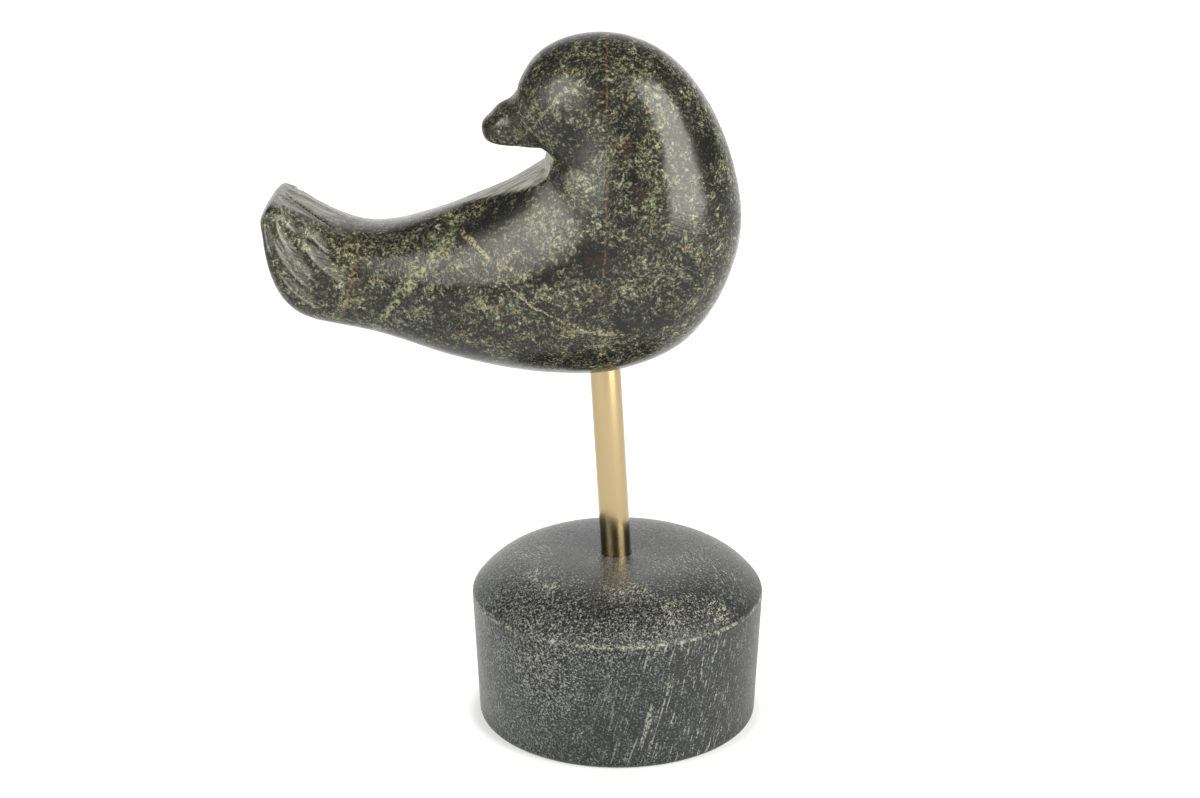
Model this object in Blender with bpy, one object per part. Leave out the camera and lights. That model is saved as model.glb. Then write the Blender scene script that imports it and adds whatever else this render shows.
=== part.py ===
"""Carved stone bird on a leaning brass rod, set in a drum-shaped stone plinth.

The bird looks back over its tail, so head and tail both point to -X, and its plane of symmetry is XZ.
The origin is the centre of the plinth's underside, and +Z is up.
"""

import math
from collections import namedtuple

import bmesh
import bpy
import numpy as np
from mathutils import Matrix, Vector

MM = 0.001
GLUE_GAP = 0.3 * MM

PLINTH_FOOT_RADIUS = 46.1 * MM
PLINTH_RIM_RADIUS = 48.25 * MM
PLINTH_RIM_HEIGHT = 44.6 * MM
PLINTH_CROWN = 12.5 * MM
PLINTH_CROWN_POWER = 5.6
PLINTH_FOOT_BEVEL = 2.5 * MM
PLINTH_FOOT_STEPS = 3
PLINTH_SIDES = 60
PLINTH_CROWN_STEPS = 9
PLINTH_CROWN_CROWDING = 1.6

ROD_RADIUS = 5.0 * MM
ROD_LEAN = math.radians(3.3)
ROD_FOOT_OFFSET = -0.4 * MM
ROD_IN_PLINTH = 18.0 * MM
ROD_IN_BIRD = 20.0 * MM
ROD_SIDES = 32
BELLY_HEIGHT = 120.6 * MM

# Each station is a slice through the bird, from its back to its belly, in millimetres: the two ends of the
# slice in the plane of symmetry, half its width, half the width of the flat along its back and how soft that
# flat's edges are, and how square the slice is on each side of its middle (2 is an ellipse).
Station = namedtuple("Station", "back_x back_z belly_x belly_z width flat edge back_power belly_power")
STATIONS = {
    "tail end": Station(-109.0, 178.3, -112.8, 171.8, 16.4, 15.0, 2.5, 3.0, 4.0),
    "tail underside high": Station(-107.2, 177.6, -112.2, 166.0, 17.0, 14.8, 2.5, 3.0, 4.0),
    "tail underside low": Station(-104.8, 176.8, -109.6, 151.4, 17.5, 14.0, 3.0, 2.8, 3.4),
    "tail corner": Station(-100.8, 175.4, -103.8, 141.7, 17.6, 12.0, 4.0, 2.6, 3.0),
    "tail root": Station(-93.8, 172.8, -92.0, 136.6, 17.2, 9.0, 5.0, 2.4, 2.6),
    "waist": Station(-82.2, 170.0, -76.1, 133.3, 17.6, 5.0, 5.0, 2.2, 2.3),
    "rump": Station(-67.0, 171.7, -57.0, 127.5, 19.8, 3.0, 4.0, 2.0, 2.1),
    "loins": Station(-50.6, 176.7, -36.0, 122.5, 22.6, 3.5, 2.0, 1.9, 2.0),
    "back": Station(-35.1, 182.8, -14.1, 120.9, 24.8, 6.0, 1.2, 1.85, 2.0),
    "shoulder": Station(-26.8, 187.6, 5.9, 124.0, 26.0, 8.0, 1.2, 1.85, 2.0),
    "breast low": Station(-23.3, 190.8, 22.7, 133.9, 26.6, 9.0, 1.2, 1.9, 2.0),
    "breast": Station(-22.3, 192.5, 34.6, 152.4, 26.8, 9.0, 1.2, 1.9, 2.0),
    "breast high": Station(-22.3, 193.8, 38.8, 172.9, 25.8, 9.0, 1.2, 1.9, 2.0),
    "neck": Station(-22.8, 194.9, 35.3, 193.5, 23.6, 9.0, 1.2, 2.0, 2.0),
    "nape": Station(-24.2, 195.9, 26.3, 213.0, 21.2, 9.0, 1.2, 2.0, 2.0),
    "crown": Station(-26.4, 196.2, 8.9, 228.6, 19.0, 9.0, 1.2, 2.0, 2.0),
    "forehead": Station(-28.4, 196.5, -13.4, 230.9, 15.4, 8.5, 1.2, 2.0, 2.0),
    "brow": Station(-30.3, 196.5, -26.4, 223.3, 11.0, 7.2, 1.2, 2.0, 2.0),
    "cheek": Station(-31.7, 196.4, -31.1, 214.6, 9.2, 6.4, 1.2, 2.0, 2.0),
    "beak root": Station(-33.6, 196.3, -34.0, 210.8, 8.4, 6.0, 1.2, 2.0, 1.8),
    "beak middle": Station(-36.3, 196.3, -37.2, 208.9, 7.6, 5.4, 1.2, 2.0, 1.8),
    "beak": Station(-38.5, 196.7, -39.6, 205.9, 6.4, 4.2, 1.2, 2.0, 1.9),
}
TAIL_END_BULGE = 0.7 * MM
BEAK_END_BULGE = 3.9 * MM
BIRD_SLICES = 88
BIRD_CAP_SLICES = 4
BIRD_SIDES = 40

# Each flute is one stroke of the carver's file in the tail. It runs between two places on the bird's surface:
# millimetres from the tail's end, and degrees around the slice from the back.
Flute = namedtuple("Flute", "start start_around end end_around")
FLANK_FLUTES = (
    Flute(1.5, 90, 14.0, 93),
    Flute(10.0, 72, 29.0, 88),
    Flute(12.0, 86, 30.0, 97),
    Flute(9.0, 33, 24.0, 52),
    Flute(27.0, 76, 42.0, 85),
    Flute(25.0, 40, 36.0, 58),
)
BACK_FLUTES = (
    Flute(0.5, 1, 40.0, -29),
    Flute(1.0, 21, 34.0, 7),
)
FLUTE_WIDTH = 2.6 * MM
FLUTE_DEPTH = 0.6 * MM
FLUTE_SIDES = 10
FLUTE_RINGS = 8


def clear_scene():
    for obj in list(bpy.data.objects):
        bpy.data.objects.remove(obj)


def material(name, colour, roughness, metallic=0.0):
    made = bpy.data.materials.new(name)
    made.use_nodes = True
    shader = made.node_tree.nodes["Principled BSDF"]
    shader.inputs["Base Color"].default_value = (*colour, 1.0)
    shader.inputs["Roughness"].default_value = roughness
    shader.inputs["Metallic"].default_value = metallic
    return made


def add_object(name, bm, finish, sharp_angle=math.radians(35)):
    """Closes the bmesh into a smooth-shaded object with its faces pointing out."""
    bmesh.ops.recalc_face_normals(bm, faces=bm.faces)
    mesh = bpy.data.meshes.new(name)
    bm.to_mesh(mesh)
    bm.free()
    mesh.shade_smooth()
    mesh.set_sharp_from_angle(angle=sharp_angle)
    mesh.materials.append(finish)
    obj = bpy.data.objects.new(name, mesh)
    bpy.context.scene.collection.objects.link(obj)
    return obj


def plinth_top():
    """Height of the crown's middle."""
    return PLINTH_RIM_HEIGHT + PLINTH_CROWN


def rod_axis():
    """Unit vector up the rod. It leans towards the tail."""
    return Vector((-math.sin(ROD_LEAN), 0.0, math.cos(ROD_LEAN)))


def on_rod(height):
    """The point of the rod's axis at this height. It leaves the plinth's top almost at the middle."""
    axis = rod_axis()
    return Vector((ROD_FOOT_OFFSET, 0.0, plinth_top())) + axis * ((height - plinth_top()) / axis.z)


def cylinder_along_rod(bm, low, high, radius, sides):
    """A cylinder on the rod's axis between two of its points."""
    length = (high - low).length
    turn = rod_axis().to_track_quat("Z", "Y").to_matrix().to_4x4()
    place = Matrix.Translation((low + high) / 2) @ turn
    bmesh.ops.create_cone(
        bm, cap_ends=True, segments=sides, radius1=radius, radius2=radius, depth=length, matrix=place
    )


def cut_with(obj, cutter):
    """Takes the cutter's shape out of obj."""
    modifier = obj.modifiers.new("cut " + cutter.name, "BOOLEAN")
    modifier.operation = "DIFFERENCE"
    modifier.object = cutter


def crown_height(radius):
    """Height of the plinth's crowned top at this distance from its axis."""
    share = radius / PLINTH_RIM_RADIUS
    return PLINTH_RIM_HEIGHT + PLINTH_CROWN * (1 - share**PLINTH_CROWN_POWER)


def plinth_profile():
    """Half the plinth's outline, from the middle of its underside up to the middle of its crown."""
    outline = [(0.0, 0.0)]
    centre = PLINTH_FOOT_RADIUS - PLINTH_FOOT_BEVEL
    for step in range(PLINTH_FOOT_STEPS + 1):
        angle = math.pi / 2 * (step / PLINTH_FOOT_STEPS - 1)
        radius = centre + PLINTH_FOOT_BEVEL * math.cos(angle)
        outline.append((radius, PLINTH_FOOT_BEVEL * (1 + math.sin(angle))))
    outline.append((PLINTH_RIM_RADIUS, PLINTH_RIM_HEIGHT))
    # The crown bends most near its rim, so its points crowd there.
    for step in range(1, PLINTH_CROWN_STEPS):
        radius = PLINTH_RIM_RADIUS * (1 - (step / PLINTH_CROWN_STEPS) ** PLINTH_CROWN_CROWDING)
        outline.append((radius, crown_height(radius)))
    outline.append((0.0, plinth_top()))
    return outline


def make_plinth(finish):
    bm = bmesh.new()
    points = [bm.verts.new((x, 0.0, z)) for x, z in plinth_profile()]
    edges = [bm.edges.new(pair) for pair in zip(points, points[1:])]
    bmesh.ops.spin(
        bm,
        geom=points + edges,
        cent=(0, 0, 0),
        axis=(0, 0, 1),
        angle=math.tau,
        steps=PLINTH_SIDES,
        use_merge=True,
    )
    bmesh.ops.remove_doubles(bm, verts=bm.verts, dist=0.001 * MM)
    return add_object("plinth", bm, finish)


def make_rod(finish):
    bm = bmesh.new()
    low = on_rod(plinth_top() - ROD_IN_PLINTH)
    high = on_rod(BELLY_HEIGHT + ROD_IN_BIRD)
    cylinder_along_rod(bm, low, high, ROD_RADIUS, ROD_SIDES)
    return add_object("rod", bm, finish)


def add_cutter(name, bm):
    """A hidden helper object for a Boolean."""
    mesh = bpy.data.meshes.new(name)
    bm.to_mesh(mesh)
    bm.free()
    cutter = bpy.data.objects.new(name, mesh)
    cutter.hide_render = True
    cutter.display_type = "WIRE"
    bpy.context.scene.collection.objects.link(cutter)
    return cutter


def socket_cutter(name, low, high):
    """A drilled hole for the rod, wider by the glue's gap."""
    bm = bmesh.new()
    cylinder_along_rod(bm, low, high, ROD_RADIUS + GLUE_GAP, ROD_SIDES)
    return add_cutter(name, bm)


def soft_min(first, second, width):
    """The lesser of two values, rounded where they are within width of each other."""
    near = np.maximum(width - np.abs(first - second), 0.0)
    return np.minimum(first, second) - near**2 / (4 * width)


class BirdForm:
    """The bird's surface: slices between the stations, closed by a rounded cap at the tail and the beak."""

    def __init__(self):
        self.values = np.array(list(STATIONS.values()), float)
        self.values[:, :7] *= MM
        steps = np.diff(self.values[:, :4], axis=0)
        travel = (np.hypot(steps[:, 0], steps[:, 1]) + np.hypot(steps[:, 2], steps[:, 3])) / 2
        self.places = np.concatenate([[0.0], np.cumsum(travel)])
        self.bends = self.natural_spline()

    def natural_spline(self):
        """The second derivatives of the smooth curves through the stations' values."""
        gaps = np.diff(self.places)
        count = len(self.places)
        system = np.eye(count)
        target = np.zeros_like(self.values)
        slopes = np.diff(self.values, axis=0) / gaps[:, None]
        for i in range(1, count - 1):
            system[i, i - 1 : i + 2] = gaps[i - 1], 2 * (gaps[i - 1] + gaps[i]), gaps[i]
            target[i] = 6 * (slopes[i] - slopes[i - 1])
        return np.linalg.solve(system, target)

    def slices(self, places):
        """A station for each place, read from the smooth curves."""
        index = np.clip(np.searchsorted(self.places, places) - 1, 0, len(self.places) - 2)
        gap = (self.places[index + 1] - self.places[index])[:, None]
        after = (places[:, None] - self.places[index][:, None]) / gap
        before = 1 - after
        bend = (before**3 - before) * self.bends[index] + (after**3 - after) * self.bends[index + 1]
        straight = before * self.values[index] + after * self.values[index + 1]
        return Station(*(straight + bend * gap**2 / 6).T)

    def points(self, places, around, shrink):
        """Points of the slices at these places. around is 0 at the back and pi at the belly."""
        cut = self.slices(places)
        back = np.stack([cut.back_x, cut.back_z], 1)
        belly = np.stack([cut.belly_x, cut.belly_z], 1)
        half = np.hypot(*(back - belly).T) / 2
        along, across = np.cos(around), np.sin(around)
        power = 2 / np.where(along > 0, cut.back_power, cut.belly_power)
        along = np.sign(along) * np.abs(along) ** power
        across = np.sign(across) * np.abs(across) ** power
        # The back half is a taller curve than the slice, cut off flat at the slice's end.
        flat_share = np.clip(cut.flat / cut.width, 0, 0.98)
        crest = half / (1 - flat_share**cut.back_power) ** (1 / cut.back_power)
        risen = soft_min(along * crest, half, cut.edge)
        height = np.where(along > 0, risen, along * half) * shrink
        middle = (back + belly) / 2 + (back - belly) / 2 * (height / half)[:, None]
        return np.stack([middle[:, 0], across * cut.width * shrink, middle[:, 1]], 1)

    def normals(self, places, around):
        """The directions in which the surface faces at these places."""
        nearby, turn = 0.2 * MM, math.radians(1)
        ahead = self.points(places + nearby, around, 1.0) - self.points(places - nearby, around, 1.0)
        beside = self.points(places, around + turn, 1.0) - self.points(places, around - turn, 1.0)
        outward = np.cross(ahead, beside)
        return outward / np.linalg.norm(outward, axis=1)[:, None]

    def end_normal(self, end, inner):
        """The direction in which the slice at this end faces, away from the one inside it."""
        cut, within = self.values[end, :4], self.values[inner, :4]
        normal = np.array([cut[3] - cut[1], 0.0, cut[0] - cut[2]])
        away = (cut - within).reshape(2, 2).sum(0)
        normal *= np.sign(normal[[0, 2]] @ away)
        return normal / np.linalg.norm(normal)

    def surface(self, shares, around):
        """Points at a share of the way from the tail's end to the beak's, and an angle around the slice."""
        caps = BIRD_CAP_SLICES / BIRD_SLICES
        shrink = np.minimum(1.0, np.minimum(shares, 1 - shares) / caps)
        run = np.clip((shares - caps) / (1 - 2 * caps), 0, 1)
        points = self.points(self.places[-1] * run, around, shrink)
        bulge = np.where(shares < 0.5, TAIL_END_BULGE, BEAK_END_BULGE) * np.sqrt(1 - shrink**2)
        outward = np.where((shares < 0.5)[:, None], self.end_normal(0, 1), self.end_normal(-1, -2))
        return points + outward * bulge[:, None]


def add_flute(bm, form, flute, side):
    """A spindle lying in the bird's surface, whose under part takes out one flute. side is 1 or -1."""
    radius = (FLUTE_WIDTH**2 / 4 + FLUTE_DEPTH**2) / (2 * FLUTE_DEPTH)
    made = bmesh.ops.create_uvsphere(bm, u_segments=FLUTE_SIDES, v_segments=FLUTE_RINGS, radius=1.0)
    ball = np.array([vert.co for vert in made["verts"]])
    run = (ball[:, 2] + 1) / 2
    places = (flute.start + (flute.end - flute.start) * run) * MM
    around = np.radians(flute.start_around + (flute.end_around - flute.start_around) * run) * side
    spots, outward = form.points(places, around, 1.0), form.normals(places, around)
    across = np.cross(outward, spots[np.argmax(run)] - spots[np.argmin(run)])
    across /= np.linalg.norm(across, axis=1)[:, None]
    rise = radius - FLUTE_DEPTH + radius * ball[:, 0]
    for vert, place in zip(made["verts"], spots + outward * rise[:, None] + across * radius * ball[:, 1:2]):
        vert.co = place


def flute_cutter(form):
    """All the tail's flutes. Those of the flanks are the same on both sides."""
    bm = bmesh.new()
    for flute in FLANK_FLUTES:
        add_flute(bm, form, flute, 1)
        add_flute(bm, form, flute, -1)
    for flute in BACK_FLUTES:
        add_flute(bm, form, flute, 1)
    bmesh.ops.recalc_face_normals(bm, faces=bm.faces)
    return add_cutter("tail flute cutter", bm)


def make_bird(finish):
    """A sphere, with its poles at the tail's end and the beak's, whose rings take the shape of the slices."""
    form = BirdForm()
    bm = bmesh.new()
    bmesh.ops.create_uvsphere(bm, u_segments=BIRD_SIDES, v_segments=BIRD_SLICES, radius=1.0)
    ball = np.array([vert.co for vert in bm.verts])
    shares = np.arccos(np.clip(ball[:, 2], -1, 1)) / math.pi
    for vert, place in zip(bm.verts, form.surface(shares, np.arctan2(ball[:, 1], ball[:, 0]))):
        vert.co = place
    bird = add_object("bird", bm, finish, sharp_angle=math.radians(60))
    cut_with(bird, flute_cutter(form))
    return bird


def main():
    clear_scene()
    plinth = make_plinth(material("grey soapstone", (0.09, 0.095, 0.09), 0.55))
    rod = make_rod(material("brushed brass", (0.62, 0.46, 0.22), 0.35, metallic=1.0))
    bird = make_bird(material("green serpentine", (0.075, 0.085, 0.055), 0.35))
    top, rod_foot = on_rod(2 * plinth_top()), on_rod(plinth_top() - ROD_IN_PLINTH - GLUE_GAP)
    cut_with(plinth, socket_cutter("plinth socket cutter", rod_foot, top))
    rod_head = on_rod(BELLY_HEIGHT + ROD_IN_BIRD + GLUE_GAP)
    cut_with(bird, socket_cutter("bird socket cutter", on_rod(BELLY_HEIGHT - ROD_IN_BIRD), rod_head))
    return plinth, rod, bird


main()
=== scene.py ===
"""Bird figurine: a polished serpentine bird on a satin brass rod, over a honed soapstone plinth.

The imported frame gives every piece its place. Lengths are in metres, and MM turns millimetres into them.
"""

import math
import random
from collections import namedtuple

import bmesh
import bpy
import numpy as np
from bpy.props import FloatProperty, FloatVectorProperty, PointerProperty
from mathutils import Matrix, Vector, noise


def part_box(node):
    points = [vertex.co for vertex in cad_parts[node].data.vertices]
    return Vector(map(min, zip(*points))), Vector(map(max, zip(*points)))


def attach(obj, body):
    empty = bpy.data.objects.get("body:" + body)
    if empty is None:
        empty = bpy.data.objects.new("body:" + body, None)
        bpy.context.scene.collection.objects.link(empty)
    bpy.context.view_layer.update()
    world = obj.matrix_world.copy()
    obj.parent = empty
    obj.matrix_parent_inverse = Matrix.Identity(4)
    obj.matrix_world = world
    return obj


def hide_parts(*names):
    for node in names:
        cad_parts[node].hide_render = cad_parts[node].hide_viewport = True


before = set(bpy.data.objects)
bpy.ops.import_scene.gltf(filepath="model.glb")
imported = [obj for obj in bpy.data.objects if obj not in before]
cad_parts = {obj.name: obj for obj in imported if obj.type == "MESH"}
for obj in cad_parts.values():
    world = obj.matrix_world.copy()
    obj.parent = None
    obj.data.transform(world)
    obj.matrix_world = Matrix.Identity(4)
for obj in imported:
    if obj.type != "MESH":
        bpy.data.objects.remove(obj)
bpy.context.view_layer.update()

bl_info = {
    "name": "Bird figurine",
    "version": (1, 0, 0),
    "blender": (4, 5, 0),
    "location": "3D View > Sidebar > Figurine",
    "description": "Makes the carved bird, its brass rod, its stone plinth and a pale stage",
    "category": "Object",
}

MM = 0.001

# Each station is a slice through the bird, from its back to its belly, in millimetres: the two ends of the
# slice in the plane of symmetry, half its width, half the width of the flat along its back and how soft that
# flat's edges are, and how square the slice is on each side of its middle (2 is an ellipse).
Station = namedtuple("Station", "back_x back_z belly_x belly_z width flat edge back_power belly_power")
STATIONS = {
    "tail end": Station(-109.0, 178.3, -112.8, 171.8, 16.4, 15.0, 2.5, 3.0, 4.0),
    "tail underside high": Station(-107.2, 177.6, -112.2, 166.0, 17.0, 14.8, 2.5, 3.0, 4.0),
    "tail underside low": Station(-104.8, 176.8, -109.6, 151.4, 17.5, 14.0, 3.0, 2.8, 3.4),
    "tail corner": Station(-100.8, 175.4, -103.8, 141.7, 17.6, 12.0, 4.0, 2.6, 3.0),
    "tail root": Station(-93.8, 172.8, -92.0, 136.6, 17.2, 9.0, 5.0, 2.4, 2.6),
    "waist": Station(-82.2, 169.8, -76.1, 133.2, 17.6, 5.0, 5.0, 2.2, 2.3),
    "rump": Station(-67.0, 171.7, -57.0, 127.2, 19.8, 3.0, 4.0, 2.0, 2.1),
    "loins": Station(-50.6, 176.8, -36.0, 122.2, 22.6, 3.5, 1.2, 1.75, 2.0),
    "back": Station(-35.4, 183.4, -14.1, 120.6, 24.8, 8.7, 0.4, 1.65, 2.0),
    "shoulder": Station(-27.1, 188.3, 6.0, 123.8, 26.0, 13.0, 0.3, 1.65, 2.0),
    "breast low": Station(-23.6, 190.7, 23.0, 133.6, 26.6, 13.6, 0.3, 1.7, 2.0),
    "breast": Station(-23.0, 192.4, 34.9, 152.3, 26.8, 14.2, 0.3, 1.8, 2.0),
    "breast high": Station(-22.5, 193.9, 39.0, 172.9, 25.8, 14.2, 0.5, 1.9, 2.0),
    "neck": Station(-22.2, 195.3, 35.3, 193.5, 23.6, 12.5, 0.9, 2.0, 2.0),
    "nape": Station(-23.2, 196.7, 26.3, 213.0, 21.2, 10.0, 1.2, 2.0, 2.0),
    "crown": Station(-26.2, 196.7, 8.9, 228.7, 19.0, 9.0, 1.2, 2.0, 2.0),
    "forehead": Station(-28.4, 196.6, -13.6, 230.8, 15.4, 8.5, 1.2, 2.0, 2.0),
    "brow": Station(-30.3, 196.5, -26.8, 223.3, 11.0, 7.2, 1.2, 2.0, 2.0),
    "cheek": Station(-31.7, 196.4, -31.5, 214.8, 9.2, 6.4, 1.2, 2.0, 2.0),
    "beak root": Station(-33.6, 196.3, -34.1, 210.7, 8.4, 6.0, 1.2, 2.0, 1.8),
    "beak middle": Station(-36.3, 196.3, -37.3, 209.1, 7.6, 5.4, 1.2, 2.0, 1.8),
    "beak": Station(-39.0, 196.4, -40.5, 205.2, 6.4, 4.2, 1.2, 2.0, 1.9),
}
# The flat from the loins to the neck is crowned: how much, as a share of half its width, and where. No flat
# is wider than this share of its slice.
CROWNING = 0.22
CROWNED_PLACES = (85.0, 105.0, 158.0, 172.0)
WIDEST_FLAT = 0.98
TAIL_END_BULGE = 1.2 * MM
BEAK_END_BULGE = 3.4 * MM
# How much of each tip is smoothed, and how many times.
TAIL_SOFT = 5 * MM
BEAK_SOFT = 6 * MM
TIP_SOFTENING = 24
# The bird's mesh: its rings, those of them that close each end, and its sides, which are a multiple of four.
BIRD_RINGS = 440
BIRD_CAP_RINGS = 14
BIRD_SIDES = 212
# How far apart the rings stand along the bird: closest where the tail is filed and at the beak.
RING_PLACES = (0.0, 42.0, 60.0, 195.0, 203.0, 240.0)
RING_GAPS = (0.36, 0.36, 0.66, 0.66, 0.36, 0.36)
# How finely the length and the girth are walked to set out the mesh.
LENGTH_STEPS = 4000
GIRTH_STEPS = 721
# The sizes of the waves that hand smoothing leaves, and how strong the small ones are beside the large ones.
BROAD_WAVE = 15 * MM
NARROW_WAVE = 5 * MM
NARROW_SHARE = 0.3

# A scallop is one stroke of a round file. It runs between two spots of the bird's unrolled skin: millimetres
# from the tail's end, and millimetres around from the middle of the back.
Scallop = namedtuple("Scallop", "start start_around end end_around width depth")
FLANK_SCALLOPS = (
    Scallop(3.0, 19.5, 12.0, 28.5, 4.2, 0.5),
    Scallop(10.5, 22.5, 28.0, 33.0, 4.2, 0.7),
    Scallop(10.0, 17.5, 30.0, 30.0, 3.8, 0.6),
    Scallop(24.0, 18.5, 40.0, 26.5, 5.4, 0.6),
    Scallop(8.0, 10.5, 22.0, 17.0, 4.2, 0.5),
    Scallop(23.0, 10.5, 35.0, 18.5, 4.6, 0.4),
    Scallop(17.0, 32.5, 30.0, 39.0, 4.6, 0.35),
)
BACK_SCALLOPS = (
    Scallop(4.0, 2.4, 44.0, -12.1, 2.1, 1.5),
    Scallop(-2.0, -2.0, 31.0, -9.0, 5.4, 0.5),
    Scallop(-3.0, 6.8, 36.0, 1.0, 5.6, 0.5),
    Scallop(-2.0, 12.0, 26.0, 9.0, 4.4, 0.4),
)
# The pale line along a flank stroke's upper edge: its width, and the part of the stroke that has it.
STROKE_LINE = 0.35 * MM
STROKE_LINE_PART = (0.3, 0.8)
# All relief fades in over this much of the tail's end.
RELIEF_START = 4 * MM
# Where the stone is left as filed. Each pair is where a share starts to change and where it has changed:
# along the bird, out from the middle of the back or the flat's edge, and down in a stroke.
BAND_START = (74 * MM, 92 * MM)
BAND_END = (180 * MM, 192 * MM)
BAND_EDGE = (-0.5 * MM, 0.5 * MM)
FILED_TAIL_END = (20 * MM, 46 * MM)
FILED_TAIL_EDGE = (9 * MM, 16 * MM)
GROOVE_SHOULDER = (-2.2 * MM, -1.2 * MM)
STROKE_DEPTHS = (0.08 * MM, 0.4 * MM)
GROOVE_DEPTHS = (0.75 * MM, 1.1 * MM)
# Depths in a stroke over which painted shade fills the bottom of the deepest stroke.
GROOVE_SHADE_DEPTHS = (0.62 * MM, 1.0 * MM)
# How dusty the tail's back and the strokes are beside the band, and the tail's back below the deep stroke.
FILED_TAIL = 0.6
FILED_STROKES = 0.22
BELOW_GROOVE = 0.3

# The corner between the cheek and the beak: degrees around the slice from the back, millimetres along the
# bird, and how much of the step shows.
CHEEK_EDGE_TURN = (60.0, 76.0, 90.0, 103.0, 117.0, 133.0, 160.0, 180.0)
CHEEK_EDGE_PLACE = (206.5, 207.8, 209.8, 211.5, 212.5, 213.0, 213.6, 213.6)
CHEEK_EDGE_SHARE = (0.0, 0.0, 0.0, 0.3, 0.8, 1.0, 1.0, 1.0)
# The step there: millimetres past the corner, and millimetres of relief.
CHEEK_STEP_PLACE = (-7.0, -3.0, -1.0, -0.4, 0.0, 0.5, 3.0)
CHEEK_STEP_RELIEF = (0.0, 0.05, 0.15, 0.1, -0.4, -0.35, 0.0)

# The serpentine's map, in millimetres. A patch is lighter or darker than the rest of the stone, and those
# marked below are painted shade.
Patch = namedtuple("Patch", "x y z radius lighter")
PATCHES = (
    Patch(-13.8, -17.9, 197.2, 9.0, -0.12),
    Patch(-21.3, -24.7, 159.7, 4.0, -0.10),
    # Painted shade: the next two darken the strip of flank just below the back's crease.
    Patch(-44.1, -14.8, 171.6, 7.0, -0.16),
    Patch(-36.3, -12.9, 178.0, 9.0, -0.14),
    Patch(-6.0, -25.8, 165.5, 8.0, -0.20),
    Patch(3.0, -23.5, 144.5, 5.0, -0.14),
    Patch(14.0, -20.5, 143.8, 5.0, -0.14),
    Patch(-23.4, -20.1, 134.1, 9.0, -0.08),
    Patch(26.2, -15.2, 198.8, 8.0, -0.12),
    Patch(8.8, -19.9, 208.0, 5.0, -0.10),
    Patch(11.0, -26.2, 164.5, 6.0, 0.06),
    Patch(4.7, -26.2, 158.0, 4.0, 0.10),
    Patch(-18.7, -25.3, 154.5, 5.0, 0.06),
    Patch(-9.0, -20.5, 190.0, 6.0, 0.08),
    # Painted shade: this one darkens the grains under the left light's highlight on the head, to dim it.
    Patch(-8.0, -18.7, 216.7, 8.0, -0.05),
    Patch(-55.0, -14.0, 168.7, 6.0, 0.08),
    Patch(-61.5, -19.0, 145.5, 6.0, 0.08),
    Patch(-100.0, -17.2, 158.2, 12.0, -0.03),
    # Painted shade: the last five darken the strip down the right of the head and breast, between the right
    # light's highlight and the edge.
    Patch(16.0, -12.4, 217.6, 6.0, -0.06),
    Patch(22.8, -12.1, 210.0, 6.0, -0.08),
    Patch(27.7, -13.9, 198.5, 7.0, -0.10),
    Patch(29.7, -16.0, 188.0, 6.0, -0.10),
    Patch(29.9, -17.9, 178.9, 5.0, -0.10),
)
RUST_SPOTS = (
    (8.8, -19.9, 207.5, 3.4),
    (4.3, -22.3, 199.7, 2.0),
    (8.2, -24.6, 189.6, 2.6),
    (-4.0, -26.3, 165.0, 4.4),
    (-12.5, -25.3, 170.0, 2.4),
    (-31.0, -23.3, 144.0, 5.0),
    (-45.1, -22.1, 154.1, 4.0),
    (6.0, -22.6, 143.0, 3.0),
)
# A vein's sheet stands at a radius from a line across the bird through x and z. It shows within reach of its
# middle. It wanders and its width is as given, and gaps is how much of it is missing, from about 0.3 to 0.6.
Vein = namedtuple("Vein", "colour x z radius width strength wander breaks gaps middle_x middle_z reach")
VEINS = (
    Vein("green_vein", 90.3, 28.0, 200.0, 2.6, 0.65, 6.0, 1.3, 0.53, -66.0, 155.0, 20.0),
    Vein("rust_vein", -682.0, 155.0, 600.0, 7.0, 0.22, 8.0, 0.8, 0.57, -82.0, 156.0, 13.0),
    Vein("rust_vein", -142.0, 166.6, 60.0, 0.9, 0.55, 2.0, 0.9, 0.47, -82.3, 150.8, 10.0),
    Vein("cream", 16.0, 213.0, 75.0, 0.6, 0.5, 3.2, 0.7, 0.48, -20.0, 147.5, 19.0),
    Vein("cream", 132.5, 410.1, 300.0, 1.3, 0.5, 3.0, 0.7, 0.50, -43.6, 167.2, 5.6),
    Vein("rust_vein", -602.0, 190.0, 600.0, 0.55, 0.6, 3.2, 1.0, 0.50, -2.0, 190.0, 37.0),
    Vein("green_vein", -90.0, 262.0, 86.0, 0.8, 0.5, 2.6, 0.7, 0.48, -24.0, 206.0, 11.0),
    Vein("ground", 5.0, 222.0, 78.5, 1.6, 0.75, 2.2, 3.0, 0.42, 5.0, 143.0, 18.0),
)
SERPENTINE_RAMP = ((0.32, "ground"), (0.46, "dark_green"), (0.57, "green"), (0.73, "pale"), (0.95, "palest"))
# Sizes in the serpentine, in millimetres: its grains, the clumps they gather in, the clouds of clumps, the
# swirls that pull them about and how far they pull, the rust's clouds and grains, the clouds of warm grains,
# and the bends of a vein.
SERPENTINE_GRAIN = 0.9
SERPENTINE_CLUMP = 2.9
STONE_CLOUD = 9
SWIRL = 9
SWIRL_PULL = (3.5, 3.5, 3.5)
RUST_CLOUD = 7
RUST_GRAIN = 2.2
TAN_CLOUD = 5
VEIN_WANDER = 4
# One file stroke and one polishing scratch: millimetres along the bird and round it. Real ones are finer, and
# these are as coarse as they need to be to show. SKIN_RADIUS is that of the round trip they are drawn on.
FILE_STROKE = (9, 0.45, 0.45)
RUB = (0.28, 5, 5)
SKIN_RADIUS = 18.0
SCORED_DUST = 0.35
SERPENTINE_BUMP = 0.03 * MM
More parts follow.
